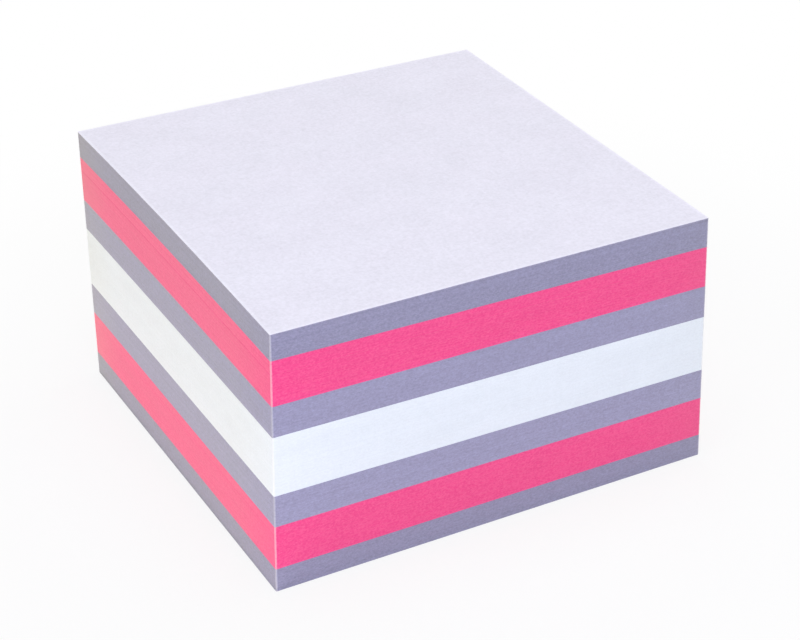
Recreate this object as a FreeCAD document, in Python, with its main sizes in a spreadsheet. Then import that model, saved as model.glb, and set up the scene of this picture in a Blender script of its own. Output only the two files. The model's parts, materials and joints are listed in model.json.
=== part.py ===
import FreeCAD, Part
import Sketcher
import os

# Sticky note pad: a block of square self-stick notes in seven colour sections.
#
# Frame: +Z up, origin on the desk under the middle of the block. The notes are glued along their
# +Y edge and free along their -Y edge. The adhesive makes every sheet a little thicker at its glued
# edge, so the block is a wedge that rises towards +Y.
#
# Each colour section is one solid, because its sheets lie pressed together as the pages of a book.
# A section is lofted from a profile on the block's left side to one on its right side, a little too
# deep, and then trimmed flush at its glued and its free edge, as a guillotine cuts the real block.
# The line between two sections is worked out once, from the notes below it, so neighbours seat face
# to face.

# Driving dimensions in millimetres: the cell's alias, its value and what it is
DIMENSIONS = [
    ("note_width", 76.0, "size of a note from left to right, along its glued edge"),
    ("note_depth", 76.0, "size of a note from its free edge to its glued edge"),
    ("sheet_thickness", 0.0974, "one sheet of paper"),
    ("glue_thickness", 0.0062, "what the adhesive adds to one sheet at its glued edge"),
    ("crown_height", 0.43, "how far the top sheet's left edge bows up in its middle"),
    ("crown_falloff", 1.5, "power by which the bow fades from the top sheet down to the crown's foot"),
    ("trim_allowance", 3.0, "paper that the guillotine takes off at the glued and the free edge"),
]

# Colour sections from the desk up: the node's name and how many notes it holds
SECTIONS = [
    ("lilac_notes_bottom", 41),
    ("pink_notes_lower", 77),
    ("lilac_notes_lower", 55),
    ("white_notes", 103),
    ("lilac_notes_upper", 53),
    ("pink_notes_upper", 77),
    ("lilac_notes_top", 44),
]

# How much lower the top of a section lies on the block's right side than on its left, in
# millimetres. The sheets are packed a little looser there in some colours than in others.
RIGHT_DROPS = [
    ("lilac_notes_bottom", 0.05),
    ("pink_notes_lower", 0.46),
    ("lilac_notes_lower", 0.47),
    ("white_notes", 0.68),
    ("lilac_notes_upper", 0.26),
    ("pink_notes_upper", 0.78),
]

# The section whose underside is flat: the crown starts on it and grows towards the top sheet
CROWN_FOOT = "white_notes"

doc = FreeCAD.newDocument("sticky_note_pad")


# Spreadsheet of driving dimensions

def fill_sheet():
    """Write every driving dimension to the spreadsheet, one row each, and give its cell an alias."""
    rows = list(DIMENSIONS)
    rows += [(name + "_count", count, "sheets in this section") for name, count in SECTIONS]
    rows += [(name + "_drop", drop, "lower on the right by this") for name, drop in RIGHT_DROPS]
    sheet = doc.addObject("Spreadsheet::Sheet", "sizes")
    for row, (alias, value, meaning) in enumerate(rows, start=1):
        sheet.set(f"A{row}", alias)
        sheet.set(f"B{row}", str(value))
        sheet.set(f"C{row}", meaning)
        sheet.setAlias(f"B{row}", alias)
    doc.recompute()


# Heights between the sections, as expressions on the spreadsheet
# Line 0 is the underside of the block, and line n is the top of the nth section

def notes_below(line):
    """Expression for the number of notes under a line."""
    counts = [f"sizes.{name}_count" for name, _ in SECTIONS[:line]]
    return "(" + " + ".join(counts or ["0"]) + ")"


def free_height(line):
    """Expression for a line's height at the free edge of the notes."""
    return f"{notes_below(line)} * sizes.sheet_thickness"


def glued_height(line):
    """Expression for a line's height at the glued edge of the notes."""
    return f"{notes_below(line)} * (sizes.sheet_thickness + sizes.glue_thickness)"


def right_drop(line):
    """Expression for how much lower a line lies on the right side of the block."""
    dropped = [name for name, _ in RIGHT_DROPS]
    if line > 0 and SECTIONS[line - 1][0] in dropped:
        return f"sizes.{SECTIONS[line - 1][0]}_drop"
    return "0"


def crown_rise(line):
    """Expression for how far a line bows up in the middle of the left side, or None where flat."""
    foot = [name for name, _ in SECTIONS].index(CROWN_FOOT)
    if line <= foot:
        return None
    above_foot = f"({notes_below(line)} - {notes_below(foot)})"
    crowned_notes = f"({notes_below(len(SECTIONS))} - {notes_below(foot)})"
    return f"sizes.crown_height * ({above_foot} / {crowned_notes}) ^ sizes.crown_falloff"


# Profiles

# Sketcher's own numbers for an edge's two ends and for the sketch axes. Each line between sections
# is drawn from its glued end to its free end.
END_NUMBER = {"glued": 1, "free": 2}
AXIS_NUMBER = {"across": -1, "up": -2}

# Which way the two ends of a note lie from the middle of the block
END_SIGN = {"glued": "", "free": "-"}


def size(alias):
    """The number in a cell of the spreadsheet."""
    return doc.getObject("sizes").get(alias)


def origin_plane(body, role):
    """One of the body's own origin planes, on which its sketches are drawn."""
    return next(plane for plane in body.Origin.OriginFeatures if plane.Role == role)


def new_sketch(body, name, role):
    """An empty sketch on one of the body's origin planes."""
    sketch = body.newObject("Sketcher::SketchObject", f"{body.Label}_{name}")
    sketch.AttachmentSupport = [(origin_plane(body, role), "")]
    sketch.MapMode = "FlatFace"
    return sketch


def first_place(line, end):
    """Where a line's end is drawn before its constraints move it to its exact place."""
    notes = sum(size(name + "_count") for name, _ in SECTIONS[:line])
    half_depth = size("note_depth") / 2 + size("trim_allowance")
    across = half_depth if end == "glued" else -half_depth
    return FreeCAD.Vector(across, notes * size("sheet_thickness"), 0)


def fix_distance(sketch, kind, geometry, end, drawn, expression):
    """Tie one end of an edge to the sketch origin by an expression."""
    origin = (AXIS_NUMBER["across"], END_NUMBER["glued"])
    point = (geometry, END_NUMBER[end])
    number = sketch.addConstraint(Sketcher.Constraint(kind, *origin, *point, drawn))
    sketch.setExpression(f"Constraints[{number}]", expression)


def pass_through(sketch, edge, place, across, up):
    """Make an edge run through a point that two expressions place."""
    point = sketch.addGeometry(Part.Point(place), True)
    sketch.addConstraint(Sketcher.Constraint("PointOnObject", point, END_NUMBER["glued"], edge))
    if across is None:
        axis = AXIS_NUMBER["up"]
        sketch.addConstraint(Sketcher.Constraint("PointOnObject", point, END_NUMBER["glued"], axis))
    else:
        fix_distance(sketch, "DistanceX", point, "glued", place.x, across)
    fix_distance(sketch, "DistanceY", point, "glued", place.y, up)


def draw_line(sketch, line, drop, rise):
    """Draw the edge between two sections: straight, or bowed up where it has a rise."""
    ends = {end: first_place(line, end) for end in END_NUMBER}
    up = {"glued": f"({glued_height(line)} - {drop})", "free": f"({free_height(line)} - {drop})"}
    middle = (ends["glued"] + ends["free"]) / 2
    if rise is None:
        edge = sketch.addGeometry(Part.LineSegment(ends["glued"], ends["free"]))
    else:
        middle.y += size("crown_height")
        edge = sketch.addGeometry(Part.ArcOfCircle(ends["glued"], middle, ends["free"]))
        pass_through(sketch, edge, middle, None, f"({up['free']} + {up['glued']}) / 2 + {rise}")
    for end, place in ends.items():
        cut = f"{END_SIGN[end]}sizes.note_depth / 2"
        outer = f"{END_SIGN[end]}(sizes.note_depth / 2 + sizes.trim_allowance)"
        pass_through(sketch, edge, place, cut, up[end])
        fix_distance(sketch, "DistanceX", edge, end, place.x, outer)
    return edge


def draw_upright(sketch, line, lower_edge, upper_edge, end):
    """Join the ends of the lower and the upper line at the glued or the free end."""
    upright = sketch.addGeometry(Part.LineSegment(first_place(line, end), first_place(line + 1, end)))
    foot = (upright, END_NUMBER["glued"], lower_edge, END_NUMBER[end])
    head = (upright, END_NUMBER["free"], upper_edge, END_NUMBER[end])
    sketch.addConstraint(Sketcher.Constraint("Coincident", *foot))
    sketch.addConstraint(Sketcher.Constraint("Coincident", *head))


def draw_profile(body, side, line):
    """Sketch a section's outline, above a line, on the left or the right side of the block."""
    sketch = new_sketch(body, side, "YZ_Plane")
    half_width = "-sizes.note_width / 2" if side == "left" else "sizes.note_width / 2"
    sketch.setExpression("AttachmentOffset.Base.z", half_width)
    edges = []
    for number in (line, line + 1):
        drop = right_drop(number) if side == "right" else "0"
        rise = crown_rise(number) if side == "left" else None
        edges.append(draw_line(sketch, number, drop, rise))
    draw_upright(sketch, line, *edges, "glued")
    draw_upright(sketch, line, *edges, "free")
    return sketch


# Guillotine cuts

def draw_cut(sketch, end):
    """Draw the strip of paper that falls off at one end: it starts at the note's edge."""
    near = size("note_depth") / 2
    far = near + 2 * size("trim_allowance")
    half = size("note_width")
    if end == "free":
        near, far = -near, -far
    corners = [(-half, near), (half, near), (half, far), (-half, far)]
    points = [FreeCAD.Vector(x, y, 0) for x, y in corners]
    sides = []
    for start, stop in zip(points, points[1:] + points[:1]):
        sides.append(sketch.addGeometry(Part.LineSegment(start, stop)))
    blade, right, outer, left = sides
    for side, following in zip(sides, sides[1:] + sides[:1]):
        meeting = (side, END_NUMBER["free"], following, END_NUMBER["glued"])
        sketch.addConstraint(Sketcher.Constraint("Coincident", *meeting))
    for side in (blade, outer):
        sketch.addConstraint(Sketcher.Constraint("Horizontal", side))
    for side in (right, left):
        sketch.addConstraint(Sketcher.Constraint("Vertical", side))
    sign = END_SIGN[end]
    fix_distance(sketch, "DistanceY", blade, "glued", near, f"{sign}sizes.note_depth / 2")
    reach = f"{sign}(sizes.note_depth / 2 + 2 * sizes.trim_allowance)"
    fix_distance(sketch, "DistanceY", outer, "glued", far, reach)
    fix_distance(sketch, "DistanceX", blade, "glued", -half, "-sizes.note_width")
    fix_distance(sketch, "DistanceX", blade, "free", half, "sizes.note_width")


def trim(body):
    """Cut the section flush with the edges of the notes, right through from its underside up."""
    sketch = new_sketch(body, "cuts", "XY_Plane")
    for end in END_NUMBER:
        draw_cut(sketch, end)
    pocket = body.newObject("PartDesign::Pocket", body.Label + "_trim")
    pocket.Profile = sketch
    pocket.Type = "ThroughAll"
    pocket.Reversed = True
    return pocket


# Sections

def build_section(name, line):
    """Loft the colour section above a line from its left profile to its right one, and trim it."""
    body = doc.addObject("PartDesign::Body", name)
    body.Label = name
    loft = body.newObject("PartDesign::AdditiveLoft", name + "_loft")
    loft.Profile = draw_profile(body, "left", line)
    loft.Sections = [draw_profile(body, "right", line)]
    loft.Ruled = True
    body.Tip = trim(body)
    return body


def check_document():
    """Stop if any object of the document failed to compute."""
    for item in doc.Objects:
        bad = [state for state in item.State if state in ("Invalid", "Error")]
        if bad:
            raise RuntimeError(f"{item.Label} is {bad[0]}")


def check_solid(body):
    """Stop unless the section is one closed, valid solid that the guillotine has cut to size."""
    shape = body.Shape
    if shape.isNull() or not shape.isValid() or len(shape.Solids) != 1:
        raise RuntimeError(f"{body.Label} is not one valid solid")
    if shape.Volume >= doc.getObject(body.Label + "_loft").Shape.Volume:
        raise RuntimeError(f"{body.Label} is not trimmed")


fill_sheet()
bodies = [build_section(name, line) for line, (name, _) in enumerate(SECTIONS)]
doc.recompute()
check_document()
for body in bodies:
    check_solid(body)

os.makedirs("parts", exist_ok=True)
for body in bodies:
    body.Shape.exportStep(f"parts/{body.Label}.step")
    print(f"{body.Label}: {len(body.Shape.Faces)} faces, {body.Shape.Volume:.1f} cubic mm")
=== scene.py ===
# %% [markdown]
# # A block of sticky notes, sheet by sheet
#
# The object is a cube-shaped block of 450 square self-stick notes in seven colour sections. It
# looks like a plain box at first, and what makes it paper is small: every cut edge of every sheet,
# the slight wedge that the adhesive gives the stack, and a note's face that is paler than the cut
# edges under it. So the plan is to model the edge of one sheet, to stack it with an Array modifier,
# and then to press the straight stack into the shape that the CAD sections have.
#
# The CAD model is loaded first and stays as it is. It says how big the block is and where one
# colour ends and the next begins.

# %% Load the frame
import json
import math
import random

import bmesh
import bpy
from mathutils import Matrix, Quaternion, Vector, noise


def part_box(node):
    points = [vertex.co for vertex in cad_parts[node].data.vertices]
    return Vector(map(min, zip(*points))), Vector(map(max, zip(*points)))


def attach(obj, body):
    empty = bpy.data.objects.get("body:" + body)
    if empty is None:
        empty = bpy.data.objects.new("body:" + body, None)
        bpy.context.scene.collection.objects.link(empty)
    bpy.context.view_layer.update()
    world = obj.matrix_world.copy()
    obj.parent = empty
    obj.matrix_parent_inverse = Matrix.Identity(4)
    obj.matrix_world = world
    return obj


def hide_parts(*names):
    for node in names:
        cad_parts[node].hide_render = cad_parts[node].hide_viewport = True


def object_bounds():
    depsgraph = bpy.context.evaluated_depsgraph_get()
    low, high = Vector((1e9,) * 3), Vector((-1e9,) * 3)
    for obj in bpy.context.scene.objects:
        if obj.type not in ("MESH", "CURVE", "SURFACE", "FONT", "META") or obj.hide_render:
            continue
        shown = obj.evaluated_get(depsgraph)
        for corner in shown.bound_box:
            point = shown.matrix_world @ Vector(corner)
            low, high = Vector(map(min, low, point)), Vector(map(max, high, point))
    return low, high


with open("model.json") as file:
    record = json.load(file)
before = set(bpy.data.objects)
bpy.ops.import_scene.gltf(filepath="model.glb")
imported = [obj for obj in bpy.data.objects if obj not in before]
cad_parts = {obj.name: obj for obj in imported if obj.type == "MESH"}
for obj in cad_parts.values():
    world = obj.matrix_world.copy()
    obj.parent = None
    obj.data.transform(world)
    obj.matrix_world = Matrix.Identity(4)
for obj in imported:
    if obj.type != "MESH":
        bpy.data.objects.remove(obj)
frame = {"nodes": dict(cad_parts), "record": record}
CAD_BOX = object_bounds()
MM = 0.001

print("CAD sections:", ", ".join(sorted(frame["nodes"])))
print("CAD box in mm:", [round(value / MM, 2) for corner in CAD_BOX for value in corner])

# %% [markdown]
# ## Camera
#
# The camera was fitted to the seven corners of the block that the photograph shows. It looks at the
# near corner from the left, from above, through a lens of about 93 mm, which keeps the perspective
# mild. A camera is easiest to place by an aim point, a direction and a distance, and the small roll
# is added last, as a turn about the camera's own line of sight.

# %% Place the camera
CAMERA_AIM = Vector((2.023, -2.041, 18.493)) * MM
CAMERA_DISTANCE = 347.0 * MM
CAMERA_AZIMUTH = math.radians(-27.52)
CAMERA_ELEVATION = math.radians(28.58)
CAMERA_ROLL = math.radians(-1.21)
CAMERA_LENS = 92.93
CAMERA_CLIP_START = 10 * MM

towards_camera = Vector((
    math.sin(CAMERA_AZIMUTH) * math.cos(CAMERA_ELEVATION),
    -math.cos(CAMERA_AZIMUTH) * math.cos(CAMERA_ELEVATION),
    math.sin(CAMERA_ELEVATION),
))
bpy.ops.object.camera_add(location=CAMERA_AIM + towards_camera * CAMERA_DISTANCE)
camera = bpy.context.object
camera.name = "camera"
camera.rotation_mode = "QUATERNION"
level_turn = (-towards_camera).to_track_quat("-Z", "Y")
camera.rotation_quaternion = level_turn @ Quaternion((0, 0, 1), CAMERA_ROLL)
camera.data.lens = CAMERA_LENS
camera.data.clip_start = CAMERA_CLIP_START
bpy.context.scene.camera = camera
bpy.context.scene.view_settings.view_transform = "Standard"
print("camera at", [round(value, 4) for value in camera.location])

# %% [markdown]
# ## Light
#
# The photograph is a product picture: soft white light from all around, a little cooler on the
# right side than on the left, and no hard shadow. A white world does part of that. It is pure white
# for the camera and for reflections, and lights the paper at a lower level. The Light Path node
# tells the two uses apart.
#
# Nodes are added by two small helpers. One of them adds a node, and the other feeds a socket with
# either a plain value or the output of another node.

# %% Helpers for nodes
def feed(tree, socket, source):
    """Link a socket to another node's output, or set it to a plain value."""
    if isinstance(source, bpy.types.NodeSocket):
        tree.links.new(source, socket)
    elif isinstance(source, tuple) and len(socket.default_value) > len(source):
        socket.default_value = (*source, 1)
    else:
        socket.default_value = source


def add_node(tree, kind, sources=(), **settings):
    """Add a node with its settings, and feed its inputs, which are named or numbered."""
    node = tree.nodes.new("ShaderNode" + kind)
    for name, value in settings.items():
        setattr(node, name, value)
    for name, source in dict(sources).items():
        feed(tree, node.inputs[name], source)
    return node


def calculate(tree, operation, first, second):
    """One step of arithmetic on two values."""
    return add_node(tree, "Math", {0: first, 1: second}, operation=operation).outputs["Value"]


def background_rays(tree):
    """A value of 1 for the rays that should see the background: camera, gloss and glass."""
    path = add_node(tree, "LightPath")
    seen = calculate(tree, "MAXIMUM", path.outputs["Is Camera Ray"], path.outputs["Is Glossy Ray"])
    return calculate(tree, "MAXIMUM", seen, path.outputs["Is Transmission Ray"])


print("node helpers ready")

# %% [markdown]
# With these helpers the world takes a few lines: one Background node for what lights the paper, one
# for what the camera sees, and a Mix Shader that chooses between the two.

# %% Light the world
WORLD_LEVEL = 0.38

world = bpy.data.worlds.new("studio")
bpy.context.scene.world = world
world.use_nodes = True
tree = world.node_tree
tree.nodes.clear()
lighting = add_node(tree, "Background", {"Color": (1.0, 1.0, 1.0), "Strength": WORLD_LEVEL})
white = add_node(tree, "Background", {"Color": (1.0, 1.0, 1.0), "Strength": 1.0})
mixer = add_node(tree, "MixShader", {
    0: background_rays(tree), 1: lighting.outputs[0], 2: white.outputs[0],
})
add_node(tree, "OutputWorld", {"Surface": mixer.outputs[0]})
print("world level", WORLD_LEVEL)

# %% [markdown]
# Softboxes do the rest. Three of them stand on the camera's side: a cool one in front, a warmer one
# on the left and a neutral one overhead. Two weaker and lower ones stand behind the block, so that
# it is lit from all sides and looks as good when it is turned round.

# %% Hang the softboxes
# Each softbox: where it hangs in metres, its size, its power in watts and its tint
SOFTBOXES = {
    "front_softbox": ((-0.12, -0.46, 0.24), 0.30, 1.05, (0.721, 0.795, 1.0)),
    "left_softbox": ((-0.60, -0.16, 0.22), 0.50, 1.12, (1.0, 0.94, 0.935)),
    "overhead_softbox": ((0.00, -0.05, 0.70), 0.60, 1.57, (1.0, 1.0, 1.0)),
    "back_softbox": ((0.12, 0.60, 0.12), 0.40, 1.20, (0.95, 0.97, 1.0)),
    "right_softbox": ((0.60, 0.10, 0.12), 0.40, 1.20, (1.0, 0.98, 0.96)),
}
BLOCK_MIDDLE = Vector((0, 0, CAD_BOX[1].z / 2))


def hang_softbox(name, place, size, power, tint):
    """Add a square area lamp that faces the middle of the block."""
    bpy.ops.object.light_add(type="AREA", location=place)
    lamp = bpy.context.object
    lamp.name = name
    lamp.data.size = size
    lamp.data.energy = power
    lamp.data.color = tint
    lamp.visible_camera = False
    lamp.rotation_mode = "QUATERNION"
    lamp.rotation_quaternion = (BLOCK_MIDDLE - Vector(place)).to_track_quat("-Z", "Y")


for name, facts in SOFTBOXES.items():
    hang_softbox(name, *facts)
print("softboxes:", ", ".join(SOFTBOXES))

# %% [markdown]
# The block's left side doesn't darken towards the desk in the photograph, but gets a little
# brighter. A white card on the desk does that: it lies along the left side and throws light up at
# it. Here it is one more area lamp, which lies flat and faces straight up.

# %% Lay the bounce card
CARD_WIDTH = 0.06
CARD_LENGTH = 0.16
CARD_POWER = 0.0104
CARD_TINT = (1.0, 0.94, 0.935)
CARD_HEIGHT = 0.5 * MM
FACE_UP = (math.pi, 0, 0)

card_place = (CAD_BOX[0].x - CARD_WIDTH / 2, 0, CARD_HEIGHT)
bpy.ops.object.light_add(type="AREA", location=card_place, rotation=FACE_UP)
card = bpy.context.object
card.name = "bounce_card"
card.data.shape = "RECTANGLE"
card.data.size = CARD_WIDTH
card.data.size_y = CARD_LENGTH
card.data.energy = CARD_POWER
card.data.color = CARD_TINT
card.visible_camera = False
print("bounce card:", CARD_WIDTH, "by", CARD_LENGTH, "m")

# %% [markdown]
# ## Floor
#
# The floor is plain and white. It has to throw light back onto the block's sides, as a white table
# does, and it has to hold the block's soft shadow. Its own colour is a matt white. A share of pure
# white is mixed in for the camera alone. That share grows with the distance from the block, so that
# the floor runs into the white background without an edge.

# %% Lay the floor
FLOOR_SIZE = 6.0
FLOOR_GAP = 0.02 * MM
FLOOR_WHITE = (0.90, 0.90, 0.90)
# Share of pure white that the camera sees: at the block, and from this distance on
GLOW_AT_BLOCK = 0.82
GLOW_DISTANCE = 0.15

bpy.ops.mesh.primitive_plane_add(size=FLOOR_SIZE, location=(0, 0, -FLOOR_GAP))
floor = bpy.context.object
floor.name = "floor"
floor_material = bpy.data.materials.new("matt_white_floor")
floor_material.use_nodes = True
tree = floor_material.node_tree
tree.nodes.clear()
place = add_node(tree, "TexCoord").outputs["Object"]
distance = add_node(tree, "VectorMath", {0: place}, operation="LENGTH").outputs["Value"]
fade = add_node(tree, "MapRange", {
    "Value": distance,
    "From Min": CAD_BOX[1].x, "From Max": GLOW_DISTANCE, "To Min": GLOW_AT_BLOCK,
}, interpolation_type="SMOOTHSTEP")
share = calculate(tree, "MULTIPLY", background_rays(tree), fade.outputs["Result"])
matt = add_node(tree, "BsdfDiffuse", {"Color": FLOOR_WHITE})
glow = add_node(tree, "Emission", {"Color": (1.0, 1.0, 1.0), "Strength": 1.0})
mixer = add_node(tree, "MixShader", {0: share, 1: matt.outputs[0], 2: glow.outputs[0]})
add_node(tree, "OutputMaterial", {"Surface": mixer.outputs[0]})
floor.data.materials.append(floor_material)
print("floor laid", FLOOR_GAP / MM, "mm under the block")

# %% [markdown]
# ## What the CAD sections say
#
# A section of the block is not a box. The adhesive makes it thicker at the glued edge, its top may
# lie lower on the right, and the upper sections bow up along their left side. All of that can be
# read off a CAD node: the height of its top and its underside at the four corners, and how far each
# of the two rises above the straight line between its left corners.

# %% Read the heights off a section
BLOCK_LOW, BLOCK_HIGH = CAD_BOX
HALF_WIDTH = (BLOCK_HIGH.x - BLOCK_LOW.x) / 2
HALF_DEPTH = (BLOCK_HIGH.y - BLOCK_LOW.y) / 2
SNAP = 0.01 * MM
# A surface never bows by more than this, so a point further off belongs to the other surface
MOST_BOW = 0.9 * MM
# The bow is read this near to the middle of the left side, where it is highest
BOW_REACH = HALF_DEPTH / 4


class Surface:
    """The top or the underside of a CAD section: four corner heights and a bow on the left side."""

    def __init__(self, node, pick):
        points = [vertex.co for vertex in frame["nodes"][node].data.vertices]
        self.corners = {}
        for right in (-1, 1):
            for glued in (-1, 1):
                x, y = right * HALF_WIDTH, glued * HALF_DEPTH
                at_corner = [p.z for p in points if abs(p.x - x) < SNAP and abs(p.y - y) < SNAP]
                self.corners[right, glued] = pick(at_corner)
        self.bow = 0.0
        for p in points:
            if abs(p.x + HALF_WIDTH) < SNAP and abs(p.y) < BOW_REACH:
                rise = p.z - self.height(p.x, p.y)
                if abs(rise) < MOST_BOW:
                    self.bow = max(self.bow, rise / (1 - (p.y / HALF_DEPTH) ** 2))

    def height(self, x, y):
        """Height of the surface over a point of the note."""
        right = (x / HALF_WIDTH + 1) / 2
        glued = (y / HALF_DEPTH + 1) / 2
        left_line = self.corners[-1, -1] * (1 - glued) + self.corners[-1, 1] * glued
        right_line = self.corners[1, -1] * (1 - glued) + self.corners[1, 1] * glued
        left_line += self.bow * 4 * glued * (1 - glued)
        return left_line * (1 - right) + right_line * right


SECTIONS = sorted(frame["nodes"], key=lambda node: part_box(node)[0].z)
surfaces = {node: (Surface(node, min), Surface(node, max)) for node in SECTIONS}
for node in SECTIONS:
    under, over = surfaces[node]
    free_edge = [round(surface.corners[-1, -1] / MM, 2) for surface in (under, over)]
    print(node, "from", free_edge[0], "to", free_edge[1], "mm, bow", round(over.bow / MM, 3), "mm")

# %% [markdown]
# ## One sheet
#
# A sheet could be a thin box, but then 450 boxes would hide 900 faces inside the block. It is
# cleaner to make the two things that can be seen. The lid is the face of a note, and the rim is its
# cut edge. Three helpers come first: one makes a piece the active one, one selects points by their
# place, and one copies a piece.

# %% Helpers for modelling
def only(piece):
    """Deselect everything, then select one piece and make it active."""
    bpy.ops.object.select_all(action="DESELECT")
    piece.select_set(True)
    bpy.context.view_layer.objects.active = piece


def select_by_place(piece, wanted):
    """In edit mode, select only the vertices whose place passes a test."""
    mesh = bmesh.from_edit_mesh(piece.data)
    for part in (*mesh.verts, *mesh.edges, *mesh.faces):
        part.select = False
    for vertex in mesh.verts:
        vertex.select = wanted(vertex.co)
    mesh.select_flush_mode()
    bmesh.update_edit_mesh(piece.data)


def copy_piece(piece, name):
    """A copy of a piece with a mesh of its own."""
    double = piece.copy()
    double.data = piece.data.copy()
    double.name = name
    bpy.context.collection.objects.link(double)
    return double


# %% [markdown]
# The lid is a grid and not one square, so that it can bend later. It is resized in edit mode, which
# leaves the object itself unscaled. Its four corners are bevelled by the hair's breadth that two
# cuts of a guillotine leave.

# %% Model the lid
LID_CELLS = 6
CORNER_REACH = 0.22 * MM
CORNER_STEPS = 2
CORNER_PROFILE = 0.6

bpy.ops.object.select_all(action="DESELECT")
bpy.ops.mesh.primitive_grid_add(x_subdivisions=LID_CELLS, y_subdivisions=LID_CELLS, size=2)
lid = bpy.context.object
lid.name = "lid"
bpy.ops.object.mode_set(mode="EDIT")
bpy.ops.transform.resize(value=(HALF_WIDTH, HALF_DEPTH, 1), center_override=(0, 0, 0))
select_by_place(lid, lambda p: abs(p.x) > HALF_WIDTH - SNAP and abs(p.y) > HALF_DEPTH - SNAP)
bpy.ops.mesh.bevel(
    offset=CORNER_REACH, segments=CORNER_STEPS, profile=CORNER_PROFILE, affect="VERTICES",
)
bpy.ops.object.mode_set(mode="OBJECT")
print("lid:", len(lid.data.vertices), "vertices,", len(lid.data.polygons), "faces")

# %% [markdown]
# The rim is the lid's outline, extruded upwards by the thickness of one sheet. Between two sheets
# of cut paper there is a faint groove. So the outline starts a hair inside, swells to full size at
# half the sheet's thickness, and goes in again. That is two extrusions, each with a slight resize.
# The lid's inside is deleted first, and only its outline stays.

# %% Model the rim of one sheet
# Thickness of a sheet while the pile is straight. It is a round number, and pressing corrects it.
SHEET = 0.1 * MM
GROOVE = 0.012 * MM
# From the rim's foot up: share of the sheet's thickness, and share of the groove's depth
RIM_PROFILE = [(0.0, 1.0), (0.5, 0.0), (1.0, 1.0)]


def drawn_in(share):
    """Scale factors that pull the outline in by a share of the groove's depth."""
    return 1 - share * GROOVE / HALF_WIDTH, 1 - share * GROOVE / HALF_DEPTH


rim = copy_piece(lid, "rim")
only(rim)
bpy.ops.object.mode_set(mode="EDIT")
bpy.ops.mesh.select_all(action="SELECT")
bpy.ops.mesh.region_to_loop()
bpy.ops.mesh.select_all(action="INVERT")
bpy.ops.mesh.delete(type="VERT")
bpy.ops.mesh.select_all(action="SELECT")
bpy.ops.transform.resize(value=(*drawn_in(RIM_PROFILE[0][1]), 1), center_override=(0, 0, 0))
for (height, depth), (next_height, next_depth) in zip(RIM_PROFILE, RIM_PROFILE[1:]):
    rise = (next_height - height) * SHEET
    bpy.ops.mesh.extrude_edges_move(TRANSFORM_OT_translate={"value": (0, 0, rise)})
    across, along = (new / old for new, old in zip(drawn_in(next_depth), drawn_in(depth)))
    bpy.ops.transform.resize(value=(across, along, 1), center_override=(0, 0, 0))
bpy.ops.object.mode_set(mode="OBJECT")
print("rim:", len(rim.data.vertices), "vertices,", len(rim.data.polygons), "faces")

# %% [markdown]
# ## A stack of sheets
#
# An Array modifier repeats the rim, one sheet's thickness higher each time, and merges the loops
# where two rims meet. That gives one tube for a whole section. A lid closes each end, so a section
# is one closed shape. The number of sheets comes from the section's thickness at the free edge,
# where no adhesive adds to it.

# %% Repeat the rim and close its ends
# Two points that lie closer than this are one and the same
MERGE_DISTANCE = SHEET / 50


def repeat_rim(name, count):
    """A tube of rims, one for each sheet, that stands on the height zero."""
    tube = copy_piece(rim, name)
    only(tube)
    sheets = tube.modifiers.new("sheets", "ARRAY")
    sheets.count = count
    sheets.use_relative_offset = False
    sheets.use_constant_offset = True
    sheets.constant_offset_displace = (0, 0, SHEET)
    sheets.use_merge_vertices = True
    sheets.merge_threshold = MERGE_DISTANCE
    bpy.ops.object.modifier_apply(modifier=sheets.name)
    return tube


def close_end(tube, height):
    """Join a lid to a tube at a height, and merge it with the outline that it meets."""
    plate = copy_piece(lid, "plate")
    only(plate)
    bpy.ops.object.mode_set(mode="EDIT")
    bpy.ops.mesh.select_all(action="SELECT")
    bpy.ops.transform.resize(value=(*drawn_in(1.0), 1), center_override=(0, 0, 0))
    bpy.ops.transform.translate(value=(0, 0, height))
    bpy.ops.object.mode_set(mode="OBJECT")
    only(tube)
    plate.select_set(True)
    bpy.ops.object.join()
    bpy.ops.object.mode_set(mode="EDIT")
    bpy.ops.mesh.select_all(action="SELECT")
    bpy.ops.mesh.remove_doubles(threshold=MERGE_DISTANCE)
    bpy.ops.mesh.normals_make_consistent(inside=False)
    bpy.ops.object.mode_set(mode="OBJECT")


print("stack helpers ready")

# %% [markdown]
# The seven sections are stacked one by one and checked for open edges. A closed shape has none: two
# faces meet at each of its edges. A real sheet is a little thinner than the modelled one, and only
# its true thickness tells how many sheets a section has.

# %% Stack the sections
SHEET_THICKNESS = 0.0974 * MM


def open_edges(piece):
    """Number of edges that don't have exactly two faces."""
    mesh = bmesh.new()
    mesh.from_mesh(piece.data)
    count = sum(not edge.is_manifold for edge in mesh.edges)
    mesh.free()
    return count


stacks, counts, first_sheets = {}, {}, {}
for node in SECTIONS:
    under, over = surfaces[node]
    thickness = over.corners[-1, -1] - under.corners[-1, -1]
    first_sheets[node] = sum(counts.values())
    counts[node] = round(thickness / SHEET_THICKNESS)
    stack = stacks[node] = repeat_rim(node + "_stack", counts[node])
    close_end(stack, 0.0)
    close_end(stack, counts[node] * SHEET)
    print(stack.name, "has", counts[node], "sheets and", open_edges(stack), "open edges")
bpy.data.objects.remove(lid)
bpy.data.objects.remove(rim)
SHEETS = sum(counts.values())
print("sheets in the block:", SHEETS)
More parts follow.
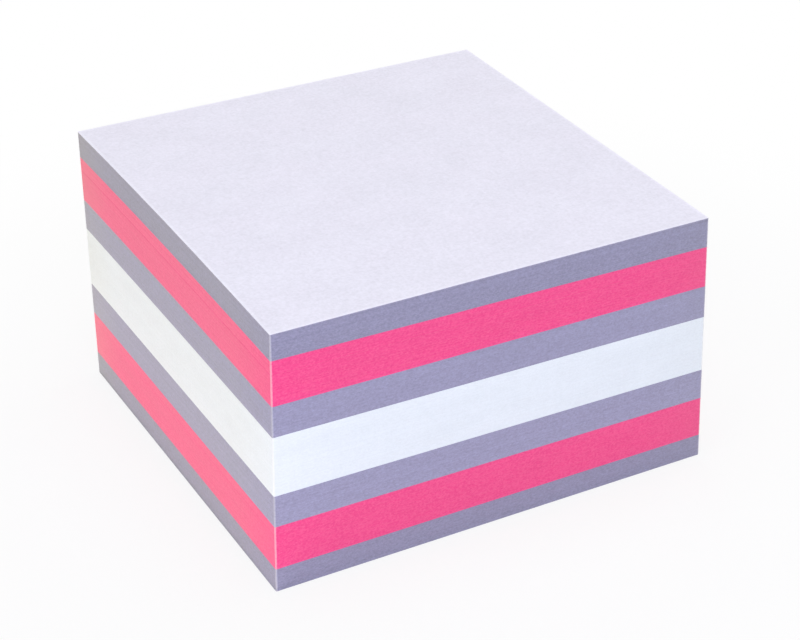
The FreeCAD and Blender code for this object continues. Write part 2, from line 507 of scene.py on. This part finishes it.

# %% [markdown]
# ## Marks for the materials
#
# A material can't tell one sheet from the next by itself, so the mesh tells it. Some attributes are
# stored while the stack is still straight, because there a point's height gives its sheet at once:
#
# - a tone for each sheet, because no two sheets of a pile look quite the same, and because whole
#   sections carry painted light and shade
# - a paleness, which is a painted highlight: the corners and the very top sheet are painted paler,
#   because they catch more light than the edges between
# - the place that each point has in the straight pile, so that the paper's grain can follow the
#   sheets however they are bent later

# %% Choose a tone for every sheet
# Painted light and shade for whole sections: the outermost lilac sections are painted darker than
# the two beside the white notes, and the lower one of these two a little paler, to follow how the
# light falls on the block's sides
PAINTED_SECTION_LIGHT = {"lilac_notes_bottom": -3.0, "lilac_notes_lower": 1.0, "lilac_notes_top": -3.2}
# Spread of the single sheets' tones within a section
TONE_SPREAD = 0.5

random.seed(450)
sheet_tones = []
for node in SECTIONS:
    section_light = PAINTED_SECTION_LIGHT.get(node, 0.0)
    sheet_tones += [section_light + random.gauss(0.0, TONE_SPREAD) for _ in range(counts[node])]
print("tones from", round(min(sheet_tones), 2), "to", round(max(sheet_tones), 2))

# %% [markdown]
# The tone and the paleness are stored on the faces, and the straight place on the points. The same
# pass over the faces sorts them into two material slots: the lids are level, and the rest is edge.

# %% Store the marks on the meshes
# Painted highlights: how much paler the corners and the top sheet's cut edge are painted, where
# they catch the light
CORNER_HIGHLIGHT = 1.0
TOP_SHEET_HIGHLIGHT = 0.6
EDGE_SLOT, FACE_SLOT = 0, 1
# A face counts as level when its normal's upright part is more than this
LEVEL = 0.9


def mark_faces(node):
    """Give each face of a stack its sheet's tone, its paleness (a painted highlight) and its
    material slot.
    """
    mesh = stacks[node].data
    tones, paleness = [], []
    for polygon in mesh.polygons:
        sheet = min(int(polygon.center.z / SHEET), counts[node] - 1)
        is_lid = abs(polygon.normal.z) > LEVEL
        at_corner = (
            abs(polygon.center.x) > HALF_WIDTH - CORNER_REACH
            and abs(polygon.center.y) > HALF_DEPTH - CORNER_REACH
        )
        on_top = first_sheets[node] + sheet == SHEETS - 1
        highlight = CORNER_HIGHLIGHT if at_corner else TOP_SHEET_HIGHLIGHT if on_top else 0.0
        tones.append(0.0 if is_lid else sheet_tones[first_sheets[node] + sheet])
        paleness.append(0.0 if is_lid else highlight)
        polygon.material_index = FACE_SLOT if is_lid else EDGE_SLOT
    mesh.attributes.new("sheet_tone", "FLOAT", "FACE").data.foreach_set("value", tones)
    mesh.attributes.new("paleness", "FLOAT", "FACE").data.foreach_set("value", paleness)


def mark_places(node):
    """Store where each point is in the straight pile of the whole block."""
    mesh = stacks[node].data
    lift = Vector((0, 0, first_sheets[node] * SHEET))
    places = [value for vertex in mesh.vertices for value in vertex.co + lift]
    stored_places = mesh.attributes.new("straight_place", "FLOAT_VECTOR", "POINT")
    stored_places.data.foreach_set("vector", places)


for node in SECTIONS:
    mark_faces(node)
    mark_places(node)
print("marked", len(SECTIONS), "stacks")

# %% [markdown]
# ## Press the stack into shape
#
# Now the straight stacks are pressed into the shape of the CAD sections. A Lattice could do it, but
# a formula is exact: a point that lies at a third of its stack's height goes to a third of the way
# between the section's underside and its top. Both of these come from the CAD node, so the wedge,
# the slope and the bow come along.
#
# Small things are added that no CAD solid has. Each sheet lies a few thousandths of a millimetre
# out of line, and the pile has a gentle waviness. The grooves between the sheets aren't all of one
# depth, and they are shallower where adhesive fills them.

# %% Slips, grooves and waves
SLIP = 0.007 * MM
WAVE_HEIGHT = 0.035 * MM
WAVE_LENGTH = 26 * MM
# Waves change faster upwards than sideways, and die away below this height over the desk
WAVE_SQUASH = 1.5
CALM_HEIGHT = 8 * MM
# Which part of the endless noise the waves are taken from
WAVE_PLACE = Vector((7, 3, 5))
# Shares of a groove's depth: how much its filling varies, and how much of it is adhesive
FILL_SPREAD = 0.3
GLUE_FILL = 0.5
GLUE_WIDTH = 19 * MM

random.seed(76)
slips = [Vector((random.gauss(0, SLIP), random.gauss(0, SLIP), 0)) for _ in range(SHEETS)]
groove_fills = [random.uniform(-0.5, 0.5) for _ in range(SHEETS + 1)]


def slip_at(level):
    """Sideways slip at a level of the block: a sheet's own at its middle, a mean between two."""
    below = slips[max(math.ceil(level) - 1, 0)]
    above = slips[min(math.floor(level), SHEETS - 1)]
    return (below + above) / 2


def groove_fill(y, level):
    """How much of a groove is filled: it varies, and it is more where the adhesive is."""
    if level != round(level):
        return 0.0
    glued = min(1.0, max(0.0, (y - HALF_DEPTH + GLUE_WIDTH) / (GLUE_WIDTH / 2)))
    return GROOVE * (FILL_SPREAD * groove_fills[round(level)] + GLUE_FILL * glued)


def waviness(x, y, z):
    """Slight rise or fall of the sheets, which dies away towards the desk."""
    calm = min(1.0, z / CALM_HEIGHT)
    place = Vector((x, y, z * WAVE_SQUASH)) / WAVE_LENGTH + WAVE_PLACE
    return WAVE_HEIGHT * calm * noise.noise(place)


print("a groove is", GROOVE / MM, "mm deep and a wave", WAVE_HEIGHT / MM, "mm high")

# %% [markdown]
# A guillotine's blade drifts outwards on its way down through a thick pile, and a block that has
# been handled leans and turns a little. So none of its upright edges is quite where a perfect block
# would have it: each lies up to 0.8 mm out of place, one way on the desk and another way at the
# top. The slides were found by laying a render over the photograph. In between they are blended, so
# that the sides stay smooth.

# %% Slide the upright edges
# How far each upright edge lies out of place, in mm: x and y on the desk, then x and y at the top.
# The keys say right or left and glued or free, as for the surfaces above.
SLIDES = {
    (-1, -1): (-0.75, -0.11, 0.54, -0.06),
    (1, -1): (0.70, 0.10, -0.21, -0.07),
    (-1, 1): (-0.18, 0.10, 0.28, 0.12),
    (1, 1): (0.45, 0.15, -0.35, -0.44),
}
TOP = surfaces[SECTIONS[-1]][1]
MEAN_HEIGHT = (TOP.corners[-1, -1] + TOP.corners[-1, 1]) / 2


def slide_at(x, y, height):
    """Sideways shift of a point of the block: a blend of the shifts of its four upright edges."""
    slide = Vector((0, 0, 0))
    for (right, glued), (desk_x, desk_y, top_x, top_y) in SLIDES.items():
        nearness = (1 + right * x / HALF_WIDTH) * (1 + glued * y / HALF_DEPTH) / 4
        on_desk, at_top = Vector((desk_x, desk_y, 0)) * MM, Vector((top_x, top_y, 0)) * MM
        slide += nearness * on_desk.lerp(at_top, height / MEAN_HEIGHT)
    return slide


print("the block is about", round(MEAN_HEIGHT / MM, 2), "mm high")

# %% [markdown]
# Now every point of every stack goes to its place: the height comes from the CAD section, and the
# wave, the slide and the slip are added. The shading is smooth, but not across the block's sharp
# edges, where two faces meet at a wide angle.

# %% Press the stacks
SHARP_ANGLE = math.radians(40)


def press(node):
    """Move every vertex of a straight stack to its place in the block."""
    under, over = surfaces[node]
    for vertex in stacks[node].data.vertices:
        x, y, z = vertex.co
        share = z / (counts[node] * SHEET)
        level = first_sheets[node] + round(z / SHEET * 2) / 2
        height = under.height(x, y) * (1 - share) + over.height(x, y) * share
        width = 1 + groove_fill(y, level) / HALF_WIDTH
        place = Vector((x * width, y * width, height + waviness(x, y, height)))
        vertex.co = place + slide_at(x, y, height) + slip_at(level)


for node in SECTIONS:
    press(node)
    only(stacks[node])
    bpy.ops.object.shade_smooth_by_angle(angle=SHARP_ANGLE)
print("pressed", len(stacks), "stacks")

# %% [markdown]
# ## Paper
#
# Uncoated paper is matt, slightly rough, and never one even colour: its fibres lie in small clouds,
# which is called formation. Its surface is fuzzy with loose fibre ends, so it turns whitish where
# it is seen at a low angle, as on the block's left side. Sheen does that. The same lilac sheet
# looks pale on its face and greyer on its cut edge, where light is lost between the sheets. So
# there are two kinds of paper material: one for the faces of the notes and one for the stacked
# edges.
#
# A noise that repeats every 0.3 mm needs a scale of about 1 / 0.0003 here, because everything is
# measured in metres. The helper takes the size of a grain, and works out the scale.

# %% Helpers for paper
# The fuzz of the cut edges is warmer than that of the faces
EDGE_FUZZ = (1.0, 0.97, 0.55)
FACE_FUZZ = (1.0, 1.0, 1.0)
FUZZ_ROUGHNESS = 0.6
PAPER_SPECULAR = 0.25


def new_paper(name, roughness, sheen, fuzz_color):
    """A material with a bare Principled shader. Its roughness is a mean, to be varied later."""
    material = bpy.data.materials.new(name)
    material.use_nodes = True
    tree = material.node_tree
    tree.nodes.clear()
    shader = add_node(tree, "BsdfPrincipled", {
        "Roughness": roughness, "Specular IOR Level": PAPER_SPECULAR,
        "Sheen Weight": sheen, "Sheen Roughness": FUZZ_ROUGHNESS, "Sheen Tint": fuzz_color,
    })
    add_node(tree, "OutputMaterial", {"Surface": shader.outputs["BSDF"]})
    return material, tree, shader


def grain(tree, place, size, stretch=(1, 1, 1), shift=(0, 0, 0), detail=2.0):
    """A noise from 0 to 1 whose grains have a size in metres, stretched along the axes."""
    scale = tuple(1 / (size * factor) for factor in stretch)
    mapping = add_node(tree, "Mapping", {"Vector": place, "Location": shift, "Scale": scale})
    texture = add_node(
        tree, "TexNoise", {"Vector": mapping.outputs["Vector"], "Scale": 1.0, "Detail": detail},
    )
    return texture.outputs["Fac"]


def swing(tree, value, reach):
    """Turn a noise from 0 to 1 into a swing from minus to plus a reach."""
    return add_node(
        tree, "MapRange", {"Value": value, "To Min": -reach, "To Max": reach}, clamp=False,
    ).outputs["Result"]


def ramp(tree, value, low, high, start, end):
    """Go from a start to an end value while a noise goes from low to high."""
    return add_node(tree, "MapRange", {
        "Value": value, "From Min": low, "From Max": high, "To Min": start, "To Max": end,
    }).outputs["Result"]


def total(tree, first, *others):
    """Add up any number of values."""
    for other in others:
        first = calculate(tree, "ADD", first, other)
    return first


print("paper helpers ready")

# %% [markdown]
# Four more helpers are about colour and surface. A tone makes a colour darker or paler, two colours
# can be mixed, a noise can raise the surface a little, and an attribute is read off the mesh.

# %% Helpers for colour and relief
def shaded(tree, color, tone):
    """A colour times a tone, where a tone of 1 leaves it as it is."""
    return add_node(
        tree, "VectorMath", {0: color, "Scale": tone}, operation="SCALE",
    ).outputs["Vector"]


def mixed(tree, share, first, second):
    """A mix of two colours: a share of 0 is the first and of 1 the second."""
    return add_node(tree, "Mix", {0: share, 6: first, 7: second}, data_type="RGBA").outputs[2]


def relief(tree, shader, height, depth):
    """Raise the surface by a noise, at most by a depth in metres."""
    bump = add_node(tree, "Bump", {"Height": height, "Distance": depth})
    feed(tree, shader.inputs["Normal"], bump.outputs["Normal"])


def stored(tree, name):
    """An attribute that is stored on the mesh."""
    return add_node(tree, "Attribute", attribute_name=name)


print("colour helpers ready")

# %% [markdown]
# ### Cut edges
#
# Eight things vary on the cut side of a pile of notes. Six of them make it darker or paler: the
# single sheet's tone, its own grain along the edge, the painted shade of the thin gap to the next
# sheet, the speckle of the fibre ends, faint upright streaks that the blade leaves, and wide soft
# clouds. Two mix in a pale colour: the fibre ends that stand out on a strong colour, and a painted
# highlight on the corners and the top sheet, whose edges catch the light. Each is one small branch
# of nodes. They are laid out on the straight pile, so they run along the sheets and not through
# them. The gaps come first.

# %% Painted shade in the gaps between the sheets
# How far a gap's shade reaches into a sheet, as a share of its thickness
GAP_REACH = 0.16


def gap_shade(tree, place, depth):
    """Painted shade: a dark thin line where two sheets meet. Its strength differs from gap to gap.
    """
    height = add_node(tree, "SeparateXYZ", {0: place}).outputs["Z"]
    level = calculate(tree, "DIVIDE", height, SHEET)
    nearest = calculate(tree, "ROUND", level, 0.0)
    off_gap = calculate(tree, "ABSOLUTE", calculate(tree, "SUBTRACT", level, nearest), 0.0)
    line = ramp(tree, off_gap, 0.0, GAP_REACH, -depth, 0.0)
    chance = add_node(tree, "TexWhiteNoise", {"W": nearest}, noise_dimensions="1D")
    return calculate(tree, "MULTIPLY", line, chance.outputs["Value"])


print("a gap is at most", round(2 * GAP_REACH * SHEET / MM, 3), "mm wide")

# %% [markdown]
# The other branches follow, each with the size of its pattern in millimetres, and a factor for each
# axis that stretches it. The blade's streaks, for example, are forty times as long as they are
# wide. Lilac varies most, because its dye shows every difference, and white least.

# %% Paper for the cut edges
STREAK_SWING = 0.012
CLOUD_SWING = 0.03
# The grain along a sheet, as a share of the speckle
GRAIN_SHARE = 0.3
# How much the gaps darken the whole, as a share of their depth. The tone makes up for it.
GAP_LOSS = 0.08
EDGE_RELIEF = 0.03 * MM


def cut_edge_paper(name, color, corner_highlight_color, speckle, sheet_swing, gap_shade_depth, flecks):
    """Paper seen from its cut edge. Flecks are pale fibre ends that show on a strong colour."""
    material, tree, shader = new_paper(name, roughness=0.85, sheen=0.42, fuzz_color=EDGE_FUZZ)
    place = stored(tree, "straight_place").outputs["Vector"]
    fibre_ends = grain(tree, place, 0.35 * MM, stretch=(1, 1, 0.7), detail=3.0)
    along_sheet = grain(tree, place, 0.12 * MM, stretch=(6, 6, 1), shift=(3, 1, 7))
    streaks = grain(tree, place, 0.6 * MM, stretch=(1, 1, 40))
    clouds = grain(tree, place, 7 * MM, stretch=(1, 1, 0.4))
    sheet = calculate(tree, "MULTIPLY", stored(tree, "sheet_tone").outputs["Fac"], sheet_swing)
    tone = total(
        tree, sheet, swing(tree, fibre_ends, speckle),
        swing(tree, along_sheet, speckle * GRAIN_SHARE), gap_shade(tree, place, gap_shade_depth),
        swing(tree, streaks, STREAK_SWING), swing(tree, clouds, CLOUD_SWING),
        1 + gap_shade_depth * GAP_LOSS,
    )
    # Painted highlight on the corners and the top sheet's edge, with a ragged limit, plus the pale
    # flecks of fibre ends
    ragged = ramp(tree, fibre_ends, 0.3, 0.6, 0.65, 1.1)
    painted_highlight = calculate(tree, "MULTIPLY", stored(tree, "paleness").outputs["Fac"], ragged)
    paleness = total(tree, painted_highlight, ramp(tree, fibre_ends, 0.35, 0.85, 0.0, flecks))
    paper = mixed(tree, paleness, shaded(tree, color, tone), corner_highlight_color)
    feed(tree, shader.inputs["Base Color"], paper)
    feed(tree, shader.inputs["Roughness"], ramp(tree, fibre_ends, 0.2, 0.8, 0.75, 0.95))
    relief(tree, shader, fibre_ends, EDGE_RELIEF)
    return material


edge_papers = {
    "lilac_paper": cut_edge_paper(
        "lilac_cut_edge", (0.327, 0.310, 0.477), corner_highlight_color=(0.50, 0.48, 0.60),
        speckle=0.30, sheet_swing=0.035, gap_shade_depth=0.36, flecks=0.0,
    ),
    "pink_paper": cut_edge_paper(
        "pink_cut_edge", (0.965, 0.036, 0.254), corner_highlight_color=(0.97, 0.34, 0.48),
        speckle=0.09, sheet_swing=0.016, gap_shade_depth=0.20, flecks=0.23,
    ),
    "white_paper": cut_edge_paper(
        "white_cut_edge", (0.855, 0.895, 0.95), corner_highlight_color=(0.93, 0.94, 0.96),
        speckle=0.07, sheet_swing=0.010, gap_shade_depth=0.12, flecks=0.0,
    ),
}
print("cut edges:", ", ".join(edge_papers))

# %% [markdown]
# ### Faces
#
# The face of a note shows formation at several sizes: a fine tooth of about half a millimetre, soft
# clouds of about one millimetre, weak patches of up to a centimetre, and a drift between a pinker
# and a bluer lilac. Single fibres show as short thin strokes. They are the places where a noise
# passes through its middle value, which gives long thin curves, and a second noise breaks these
# into short pieces. The tooth also drives the bump, so that the paper looks dry and not like
# plastic.
#
# A note's outermost half millimetre is painted a little paler, as a highlight where its edge
# catches the light. Its inner limit is ragged, because the tooth is added to the distance from the
# border before that distance is turned into paleness.

# %% Fibres and the painted border highlight for the faces
# A noise's middle value, and how far from it a fibre ends
MIDDLE = 0.5
FIBRE_REACH = 0.035


def fibres(tree, place, size, shift):
    """Short thin strokes: 1 on a fibre and 0 beside it."""
    field = grain(tree, place, size, shift=shift, detail=1.0)
    off_line = calculate(tree, "ABSOLUTE", calculate(tree, "SUBTRACT", field, MIDDLE), 0.0)
    line = ramp(tree, off_line, 0.0, FIBRE_REACH, 1.0, 0.0)
    pieces = grain(tree, place, size * 0.8, shift=tuple(value + 11 for value in shift), detail=0.0)
    return calculate(tree, "MULTIPLY", line, ramp(tree, pieces, 0.52, 0.60, 0.0, 1.0))


def from_side(tree, place, axis, half):
    """Distance in metres from the nearer one of two opposite sides of the note."""
    value = add_node(tree, "SeparateXYZ", {0: place}).outputs[axis]
    return calculate(tree, "SUBTRACT", half, calculate(tree, "ABSOLUTE", value, 0.0))


def border_highlight(tree, place, tooth, width):
    """Mask of the painted highlight: 1 on the note's outermost border and 0 inside it, with a
    ragged limit.
    """
    from_left_or_right = from_side(tree, place, "X", HALF_WIDTH)
    from_free_or_glued = from_side(tree, place, "Y", HALF_DEPTH)
    nearest = calculate(tree, "MINIMUM", from_left_or_right, from_free_or_glued)
    ragged = total(tree, nearest, swing(tree, tooth, width / 3))
    return ramp(tree, ragged, width / 4, width, 1.0, 0.0)


print("fibres reach", FIBRE_REACH, "to either side of a noise's middle value")

# %% [markdown]
# A face is put together as the cut edges were: all patterns are added up to one tone, and the tone
# scales a colour that drifts between two close shades.

# %% Paper for the faces
# Painted highlight along a note's border: its width, and how much paler it paints the paper
HIGHLIGHT_WIDTH = 0.6 * MM
HIGHLIGHT_PALENESS = 0.07
TOOTH_SIZE = 0.48 * MM
# How far each pattern makes the paper darker and paler
TOOTH_SWING = 0.12
FORMATION_SWING = 0.05
PATCH_SWING = 0.055
DARK_FIBRES = -0.030
PALE_FIBRES = 0.025
FACE_RELIEF = 0.02 * MM


def face_paper(name, color, second_color):
    """Paper seen from its face."""
    material, tree, shader = new_paper(name, roughness=0.9, sheen=0.25, fuzz_color=FACE_FUZZ)
    place = stored(tree, "straight_place").outputs["Vector"]
    tooth = grain(tree, place, TOOTH_SIZE, detail=3.0)
    border = border_highlight(tree, place, tooth, HIGHLIGHT_WIDTH)
    painted_border_highlight = calculate(tree, "MULTIPLY", border, HIGHLIGHT_PALENESS)
    formation = grain(tree, place, 1.1 * MM)
    patches = grain(tree, place, 9 * MM, shift=(2, 6, 3), detail=3.0)
    drift = grain(tree, place, 9 * MM)
    dark_strokes = fibres(tree, place, 1.3 * MM, (0, 0, 0))
    pale_strokes = fibres(tree, place, 1.1 * MM, (5, 9, 2))
    tone = total(
        tree, swing(tree, tooth, TOOTH_SWING), swing(tree, formation, FORMATION_SWING),
        swing(tree, patches, PATCH_SWING), calculate(tree, "MULTIPLY", dark_strokes, DARK_FIBRES),
        calculate(tree, "MULTIPLY", pale_strokes, PALE_FIBRES), painted_border_highlight, 1.0,
    )
    paper = shaded(tree, mixed(tree, drift, color, second_color), tone)
    feed(tree, shader.inputs["Base Color"], paper)
    feed(tree, shader.inputs["Roughness"], ramp(tree, tooth, 0.2, 0.8, 0.82, 0.97))
    relief(tree, shader, tooth, FACE_RELIEF)
    return material


face_papers = {
    "lilac_paper": face_paper("lilac_note_face", (0.858, 0.826, 0.927), (0.849, 0.834, 0.927)),
    "pink_paper": face_paper("pink_note_face", (0.95, 0.30, 0.46), (0.95, 0.27, 0.45)),
    "white_paper": face_paper("white_note_face", (0.90, 0.90, 0.91), (0.89, 0.90, 0.92)),
}
print("faces:", ", ".join(face_papers))

# %% [markdown]
# ### The underside
#
# The lowest note shows its back. There the adhesive lies in one strip along the glued edge: a thin,
# uneven film of tiny sticky beads, which makes the paper a little darker and a little shinier. A
# short ramp across its inner limit makes the strip, and a fine noise gives it its beads.

# %% Paper for the underside
STRIP_START = HALF_DEPTH - GLUE_WIDTH
# Over this width the strip fades in, and by this much its limit is ragged
STRIP_FADE = 0.4 * MM
STRIP_RAGGED = 0.3 * MM
BEAD_SIZE = 0.15 * MM
BACK_SWING = 0.13
FILM_TONE = -0.10


def note_back(name, color):
    """Paper with the strip of adhesive on it."""
    material, tree, shader = new_paper(name, roughness=0.9, sheen=0.25, fuzz_color=FACE_FUZZ)
    place = add_node(tree, "TexCoord").outputs["Object"]
    tooth = grain(tree, place, TOOTH_SIZE, detail=3.0)
    beads = grain(tree, place, BEAD_SIZE, shift=(4, 4, 4), detail=1.0)
    y = add_node(tree, "SeparateXYZ", {0: place}).outputs["Y"]
    ragged = total(tree, y, swing(tree, tooth, STRIP_RAGGED))
    strip = ramp(tree, ragged, STRIP_START, STRIP_START + STRIP_FADE, 0.0, 1.0)
    film = calculate(tree, "MULTIPLY", strip, ramp(tree, beads, 0.35, 0.6, 0.5, 1.0))
    darkening = calculate(tree, "MULTIPLY", film, FILM_TONE)
    tone = total(tree, swing(tree, tooth, BACK_SWING), darkening, 1.0)
    feed(tree, shader.inputs["Base Color"], shaded(tree, color, tone))
    feed(tree, shader.inputs["Roughness"], ramp(tree, film, 0.0, 1.0, 0.9, 0.5))
    relief(tree, shader, calculate(tree, "ADD", tooth, film), FACE_RELIEF)
    return material


lilac_back = note_back("lilac_note_back", (0.86, 0.84, 0.955))
print("adhesive strip from y =", round(STRIP_START / MM, 1), "mm")

# %% [markdown]
# ## Put the block together
#
# Each stack gets the materials of the finish that the record gives its section, and takes the place
# of the CAD section that it was pressed into. It rides on the block's only body. The lowest stack
# has one material more, for its underside.

# %% Finish the stacks
BACK_SLOT = 2
slots = {part["node"]: part["material_slot"] for part in frame["record"]["subparts"]}

for node in SECTIONS:
    stack = stacks[node]
    slot = slots[node]
    stack.data.materials.append(edge_papers[slot])
    stack.data.materials.append(face_papers[slot])
    if node == SECTIONS[0]:
        stack.data.materials.append(lilac_back)
        for polygon in stack.data.polygons:
            if polygon.normal.z < -LEVEL:
                polygon.material_index = BACK_SLOT
    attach(stack, "root")
    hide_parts(node)
    print(stack.name, "in", slot)

# %% [markdown]
# ## The CAD box
#
# The box of the CAD block is printed once more at the end, lowest corner first.

# %% Print the CAD box and finish
bpy.context.view_layer.update()
print("CAD box in mm:", [round(value / MM, 2) for corner in CAD_BOX for value in corner])
